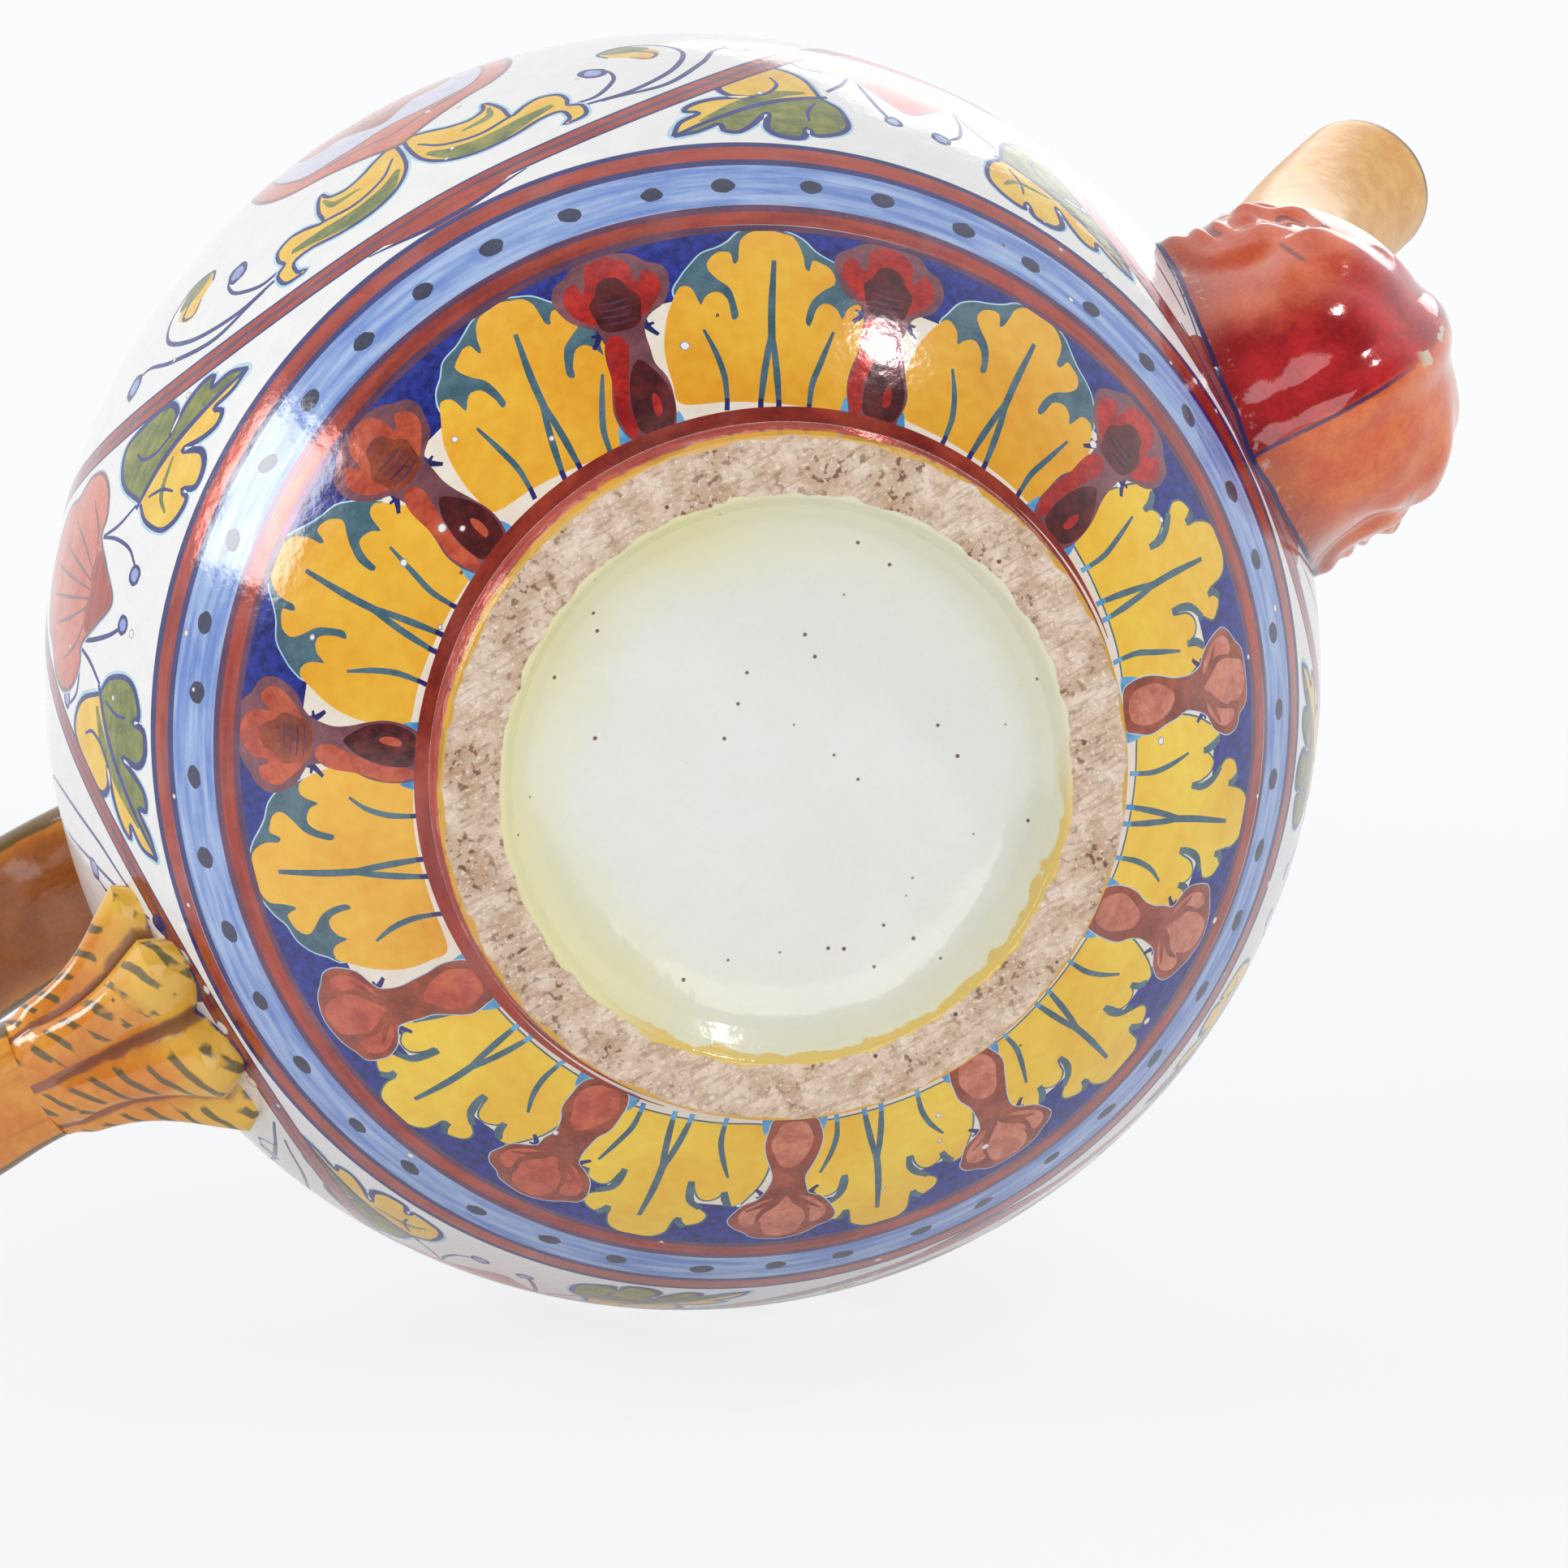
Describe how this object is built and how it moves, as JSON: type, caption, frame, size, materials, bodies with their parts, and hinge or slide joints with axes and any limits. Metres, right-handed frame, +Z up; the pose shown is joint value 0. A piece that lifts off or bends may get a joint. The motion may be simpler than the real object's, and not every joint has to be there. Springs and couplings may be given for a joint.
{
  "type": "teapot",
  "caption": "Round-bellied lustre-painted earthenware teapot with a mask at the spout root, a leaf-ended strap handle, a foot ring and a lift-off domed lid.",
  "frame": {"origin": "centre of the foot ring, on the surface that the pot stands on", "axes": "+Z up along the axis of the thrown pot, +X towards the spout, -X towards the handle"},
  "size_m": [0.2623, 0.157, 0.1833],
  "materials": {
    "painted_glaze": "white tin glaze painted in cobalt, yellow, green and red lustre",
    "bare_clay": "unglazed buff earthenware, scuffed by use",
    "ruby_lustre": "ruby and orange metallic lustre over glaze",
    "ochre_glaze": "glossy ochre glaze with brown and green strokes",
    "lid_glaze": "white tin glaze with painted bands"
  },
  "bodies": {
    "pot": {"body_shell": "painted_glaze", "foot_ring": "bare_clay", "neck_collar": "painted_glaze", "spout_mask": "ruby_lustre", "spout_tube": "ochre_glaze", "handle_strap": "ochre_glaze", "handle_leaf": "ochre_glaze"},
    "lid": {"lid_dome": "lid_glaze", "lid_flange": "lid_glaze", "lid_knob": "ochre_glaze"}
  },
  "joints": [
    {"name": "lid_lift", "type": "slide", "parent": "pot", "child": "lid", "axis": [0, 0, 1], "range_m": [0, 0.06]}
  ]
}
